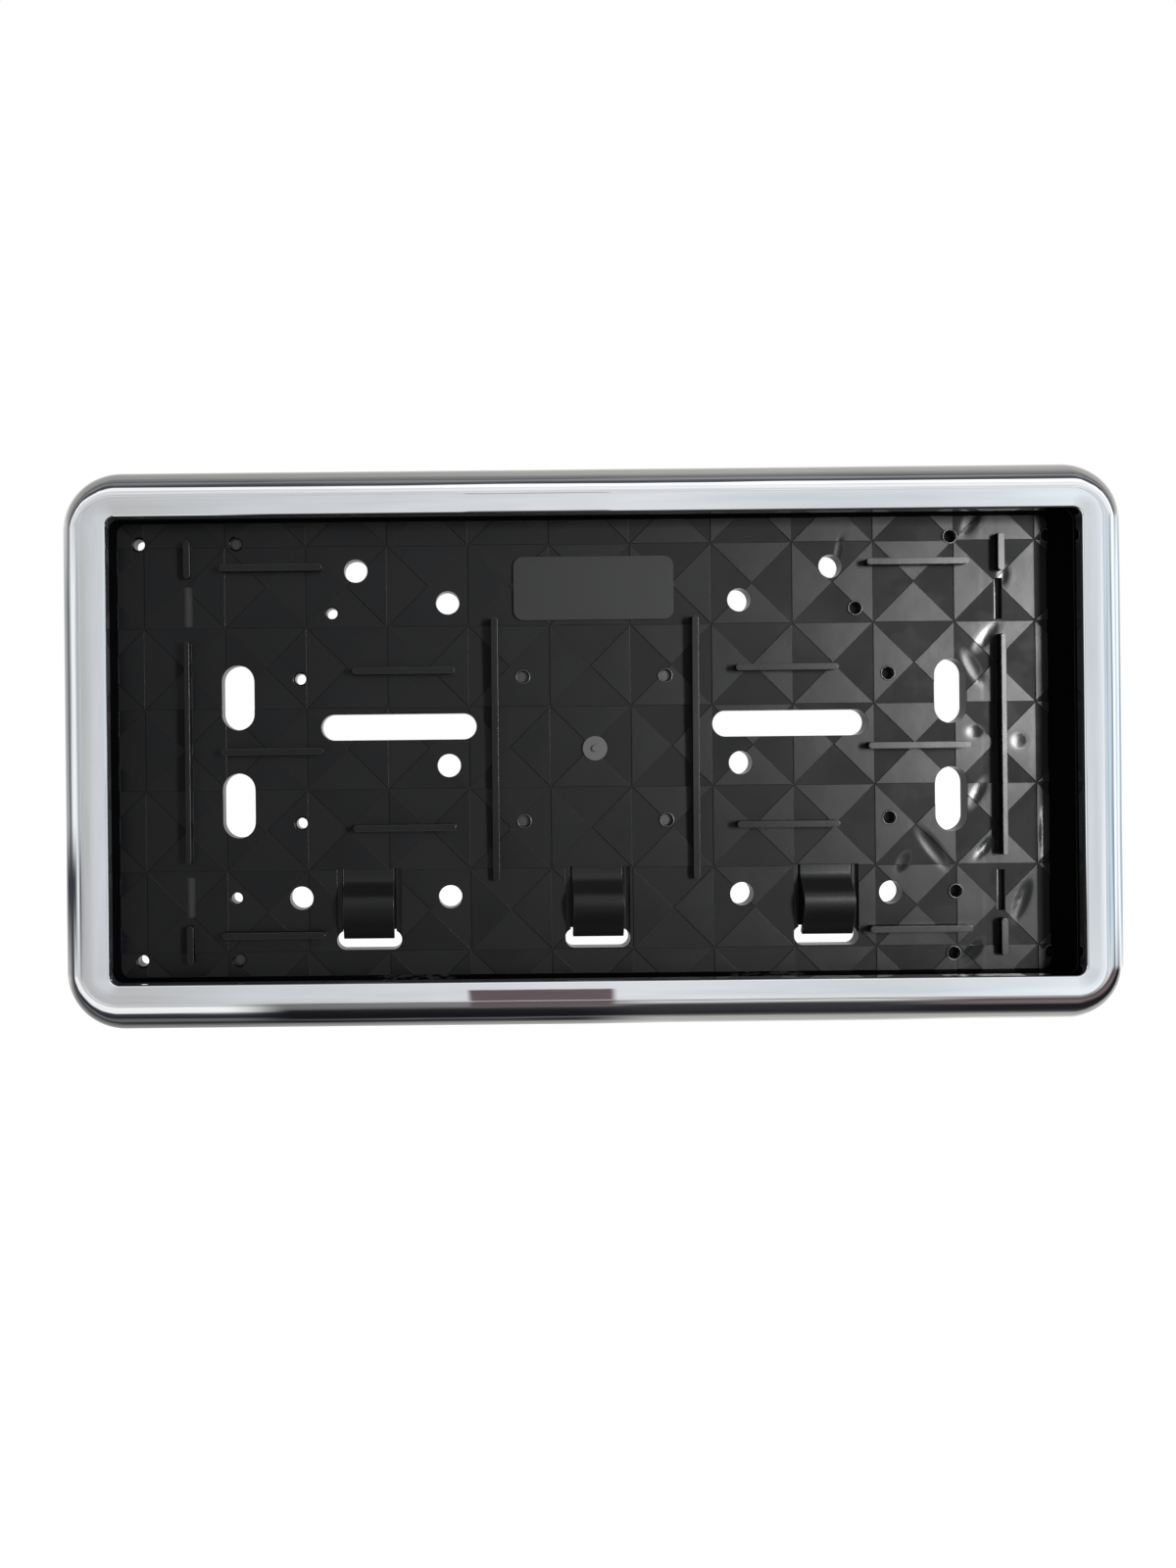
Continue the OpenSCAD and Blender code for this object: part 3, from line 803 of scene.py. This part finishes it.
# what the plating mirrors on each side of the holder, from straight in front (0) to straight behind (1)
roomLook = {
    "waver": 0.10,
    "waverScale": 5.0,
    "waverSpan": (0.09, 0.24, 0.08, 1.0),  # angle from and to, and the share of the waver at each
    "mottle": 0.24,
    "mottleScale": 11.0,
    "sideGain": (-0.30, 0.30, 0.86, 1.10),  # from the left to the right, and the brightness at each
    "frontEdge": (0.05, 0.09),  # where the tone straight in front gives way to the sides
    "rightEdge": (-0.1, 0.1),  # and one side to the next
    "topEdge": (0.12, 0.24),
    "underEdge": (-0.12, -0.24),
    "lowLeftEdge": (-0.06, -0.12),
    "bottomEdge": (-0.20, -0.14),
    "bottomRightEdge": (0.10, 0.18),
    "lowRightEdge": (0.33, 0.42),
    "front": (0.72, 0.74, 0.77),
    "top": [(0.07, (0.71, 0.73, 0.76)), (0.085, (0.60, 0.61, 0.63)), (0.13, (0.88, 0.89, 0.91)),
            (0.16, (0.88, 0.89, 0.91)), (0.19, (0.76, 0.77, 0.79)), (0.22, (1.15, 1.15, 1.15)),
            (0.275, (1.15, 1.15, 1.15)), (0.295, (0.10, 0.11, 0.13)), (0.33, (0.055, 0.06, 0.075)),
            (0.36, (0.10, 0.10, 0.11)), (0.385, (0.25, 0.25, 0.25)), (0.42, (0.25, 0.25, 0.25)),
            (0.45, (0.10, 0.105, 0.12)), (0.48, (0.19, 0.19, 0.19)), (0.54, (0.27, 0.27, 0.26)),
            (0.58, (0.37, 0.365, 0.35)), (0.71, (0.41, 0.40, 0.385)), (0.80, (0.55, 0.54, 0.52)),
            (0.88, (0.85, 0.84, 0.82)), (0.94, (1.0, 1.0, 1.0))],
    "bottomLeft": [(0.07, (0.62, 0.62, 0.62)), (0.10, (0.70, 0.72, 0.73)), (0.13, (1.12, 1.13, 1.14)),
                   (0.25, (1.08, 1.09, 1.10)), (0.28, (0.60, 0.62, 0.64)), (0.30, (0.07, 0.075, 0.09)),
                   (0.40, (0.025, 0.027, 0.035)), (0.43, (0.05, 0.055, 0.065)), (0.46, (0.15, 0.155, 0.165)),
                   (0.52, (0.14, 0.145, 0.155)), (0.55, (0.045, 0.045, 0.05)), (0.59, (0.05, 0.05, 0.055)),
                   (0.63, (0.15, 0.15, 0.15)), (0.72, (0.28, 0.275, 0.265)), (0.80, (0.35, 0.345, 0.335)),
                   (0.92, (0.8, 0.8, 0.78))],
    "bottom": [(0.065, (0.56, 0.56, 0.555)), (0.08, (0.38, 0.38, 0.38)), (0.10, (0.22, 0.215, 0.215)),
               (0.17, (0.20, 0.195, 0.195)), (0.20, (0.12, 0.115, 0.12)), (0.23, (0.03, 0.03, 0.034)),
               (0.30, (0.014, 0.014, 0.016)), (0.45, (0.009, 0.009, 0.011)), (0.49, (0.03, 0.03, 0.034)),
               (0.515, (0.12, 0.125, 0.14)), (0.54, (0.035, 0.035, 0.04)), (0.58, (0.018, 0.018, 0.02)),
               (0.62, (0.09, 0.09, 0.09)), (0.67, (0.26, 0.255, 0.245)), (0.76, (0.35, 0.345, 0.335)),
               (0.86, (0.55, 0.54, 0.53)), (0.94, (1.0, 1.0, 1.0))],
    "bottomRight": [(0.07, (0.74, 0.745, 0.75)), (0.10, (0.60, 0.60, 0.60)), (0.13, (0.38, 0.38, 0.38)),
                    (0.15, (0.12, 0.118, 0.12)), (0.175, (0.045, 0.045, 0.048)), (0.29, (0.034, 0.034, 0.04)),
                    (0.44, (0.022, 0.022, 0.026)), (0.48, (0.09, 0.09, 0.09)), (0.51, (0.25, 0.248, 0.24)),
                    (0.55, (0.38, 0.375, 0.36)), (0.68, (0.43, 0.42, 0.405)), (0.76, (0.62, 0.61, 0.59)),
                    (0.84, (0.95, 0.94, 0.92)), (0.92, (1.1, 1.1, 1.1))],
    "lowRight": [(0.07, (0.86, 0.88, 0.90)), (0.085, (0.66, 0.66, 0.67)), (0.105, (0.13, 0.11, 0.115)),
                 (0.14, (0.10, 0.075, 0.082)), (0.19, (0.18, 0.138, 0.148)), (0.23, (0.13, 0.10, 0.108)),
                 (0.26, (0.035, 0.032, 0.036)), (0.30, (0.013, 0.013, 0.015)), (0.42, (0.016, 0.016, 0.018)),
                 (0.455, (0.03, 0.03, 0.034)), (0.485, (0.09, 0.09, 0.092)), (0.52, (0.28, 0.275, 0.265)),
                 (0.56, (0.38, 0.375, 0.36)), (0.65, (0.42, 0.41, 0.40)), (0.70, (0.64, 0.63, 0.61)),
                 (0.76, (1.0, 1.0, 0.98)), (0.9, (1.1, 1.1, 1.1))],
    "left": [(0.09, (0.60, 0.61, 0.61)), (0.12, (0.56, 0.58, 0.60)), (0.20, (0.52, 0.55, 0.58)),
             (0.24, (0.74, 0.78, 0.81)), (0.27, (1.10, 1.12, 1.14)), (0.42, (1.08, 1.11, 1.14)),
             (0.45, (0.86, 0.90, 0.94)), (0.48, (0.48, 0.50, 0.53)), (0.53, (0.21, 0.215, 0.23)),
             (0.57, (0.17, 0.17, 0.18)), (0.61, (0.28, 0.28, 0.29)), (0.65, (0.47, 0.475, 0.485)),
             (0.74, (0.48, 0.48, 0.48)), (0.80, (0.75, 0.75, 0.75)), (0.90, (1.0, 1.0, 1.0))],
    "lowLeft": [(0.09, (0.63, 0.63, 0.63)), (0.105, (0.45, 0.45, 0.46)), (0.12, (0.17, 0.165, 0.17)),
                (0.155, (0.17, 0.165, 0.17)), (0.19, (0.32, 0.32, 0.34)), (0.225, (1.0, 1.04, 1.08)),
                (0.26, (1.05, 1.08, 1.10)), (0.30, (0.55, 0.57, 0.60)), (0.34, (0.19, 0.195, 0.205)),
                (0.40, (0.065, 0.068, 0.08)), (0.48, (0.05, 0.052, 0.06)), (0.66, (0.055, 0.057, 0.065)),
                (0.70, (0.10, 0.10, 0.11)), (0.76, (0.48, 0.48, 0.48)), (0.80, (0.20, 0.20, 0.20)),
                (0.88, (0.50, 0.50, 0.50)), (0.95, (1.0, 1.0, 1.0))],
    "right": [(0.12, (0.62, 0.65, 0.68)), (0.155, (0.80, 0.86, 0.90)), (0.17, (0.86, 0.92, 0.96)),
              (0.19, (0.60, 0.68, 0.75)), (0.21, (0.33, 0.41, 0.48)), (0.235, (0.66, 0.75, 0.82)),
              (0.29, (0.55, 0.64, 0.71)), (0.32, (0.20, 0.26, 0.32)), (0.35, (0.34, 0.41, 0.48)),
              (0.375, (1.10, 1.15, 1.18)), (0.41, (1.10, 1.15, 1.18)), (0.45, (0.70, 0.79, 0.86)),
              (0.49, (0.52, 0.61, 0.69)), (0.53, (1.0, 1.08, 1.12)), (0.57, (0.85, 0.94, 0.99)),
              (0.62, (0.38, 0.45, 0.52)), (0.68, (0.45, 0.52, 0.58)), (0.76, (0.85, 0.90, 0.94)),
              (0.85, (1.05, 1.05, 1.05))],
    # a brown patch low in front, which the lower band mirrors
    "patch": {"colour": (0.13, 0.098, 0.105), "left": (0.010, 0.016), "right": (0.130, 0.138),
              "top": (-0.030, -0.012), "front": (-0.85, -0.8)},
}


def makeWorld():
    world = bpy.data.worlds.new("studio")
    scene.world = world
    world.use_nodes = True
    tree = world.node_tree
    tree.nodes.clear()
    direction = tree.nodes.new("ShaderNodeTexCoord").outputs["Generated"]
    x, y, z = splitVector(tree, direction)

    def blend(part, edge, first, second):
        return addMix(tree, addStep(tree, part, *roomLook[edge]), first, second)

    waver = addMath(tree, "SUBTRACT", addNoise(tree, direction, roomLook["waverScale"]), 0.5)
    waver = addMath(tree, "MULTIPLY", waver, roomLook["waver"])
    ahead = addMath(tree, "MULTIPLY", y, -1.0)
    turns = []
    for part in (x, z):
        angle = addMath(tree, "ARCTAN2", addMath(tree, "ABSOLUTE", part), ahead)
        angle = addMath(tree, "DIVIDE", angle, math.pi)
        share = addRange(tree, angle, *roomLook["waverSpan"], True)
        turns.append(addMath(tree, "ADD", angle, addMath(tree, "MULTIPLY", waver, share)))
    beside, over = turns
    ramps = {side: addRamp(tree, over, roomLook[side])
             for side in ("top", "bottomLeft", "bottom", "bottomRight", "lowRight")}
    ramps.update({side: addRamp(tree, beside, roomLook[side]) for side in ("left", "lowLeft", "right")})
    left = blend(z, "lowLeftEdge", ramps["left"], ramps["lowLeft"])
    bottom = blend(x, "bottomEdge", ramps["bottomLeft"], ramps["bottom"])
    bottom = blend(x, "bottomRightEdge", bottom, ramps["bottomRight"])
    bottom = blend(x, "lowRightEdge", bottom, ramps["lowRight"])
    sides = blend(x, "rightEdge", left, ramps["right"])
    sides = blend(z, "topEdge", sides, ramps["top"])
    sides = blend(z, "underEdge", sides, bottom)
    room = blend(addMath(tree, "MAXIMUM", beside, over), "frontEdge", (*roomLook["front"], 1), sides)
    patch = roomLook["patch"]
    mask = addStep(tree, x, *patch["left"])
    for part, side in ((x, "right"), (z, "top"), (y, "front")):
        mask = addMath(tree, "MULTIPLY", mask, addRange(tree, part, *patch[side], 1.0, 0.0, True))
    room = addMix(tree, mask, room, (*patch["colour"], 1))
    mottle = addMath(tree, "SUBTRACT", addNoise(tree, direction, roomLook["mottleScale"], 3.0), 0.5)
    mottle = addMath(tree, "ADD", 1.0, addMath(tree, "MULTIPLY", mottle, roomLook["mottle"]))
    gain = addMath(tree, "MULTIPLY", addRange(tree, x, *roomLook["sideGain"], True), mottle)
    lit = tree.nodes.new("ShaderNodeBackground")
    tree.links.new(addVectorMath(tree, "SCALE", room, gain), lit.inputs["Color"])
    paper = tree.nodes.new("ShaderNodeBackground")
    paper.inputs["Color"].default_value = (1, 1, 1, 1)
    choose = tree.nodes.new("ShaderNodeMixShader")
    tree.links.new(tree.nodes.new("ShaderNodeLightPath").outputs["Is Camera Ray"], choose.inputs[0])
    tree.links.new(lit.outputs[0], choose.inputs[1])
    tree.links.new(paper.outputs[0], choose.inputs[2])
    tree.links.new(choose.outputs[0], tree.nodes.new("ShaderNodeOutputWorld").inputs[0])


lightList = {
    "windowLight": {"place": (0.65, -0.80, 0.06), "size": (0.17, 0.42), "power": 21.0},  # metres and watts
}


def makeLights():
    # the lamp lights the moulding only; the plating mirrors the room
    mouldedPieces = bpy.data.collections.new("mouldedPieces")
    for piece in scene.objects:
        if piece.type == "MESH" and piece != surround:
            mouldedPieces.objects.link(piece)
    for name, look in lightList.items():
        data = bpy.data.lights.new(name, "AREA")
        data.shape = "RECTANGLE"
        data.size, data.size_y = look["size"]
        data.energy = look["power"]
        lamp = bpy.data.objects.new(name, data)
        scene.collection.objects.link(lamp)
        lamp.location = look["place"]
        lamp.rotation_euler = (-lamp.location).to_track_quat("-Z", "Y").to_euler()
        lamp.visible_camera = False
        lamp.light_linking.receiver_collection = mouldedPieces


makeFloor()
makeWorld()
makeLights()
scene.view_settings.view_transform = "Standard"
print("studio lit")
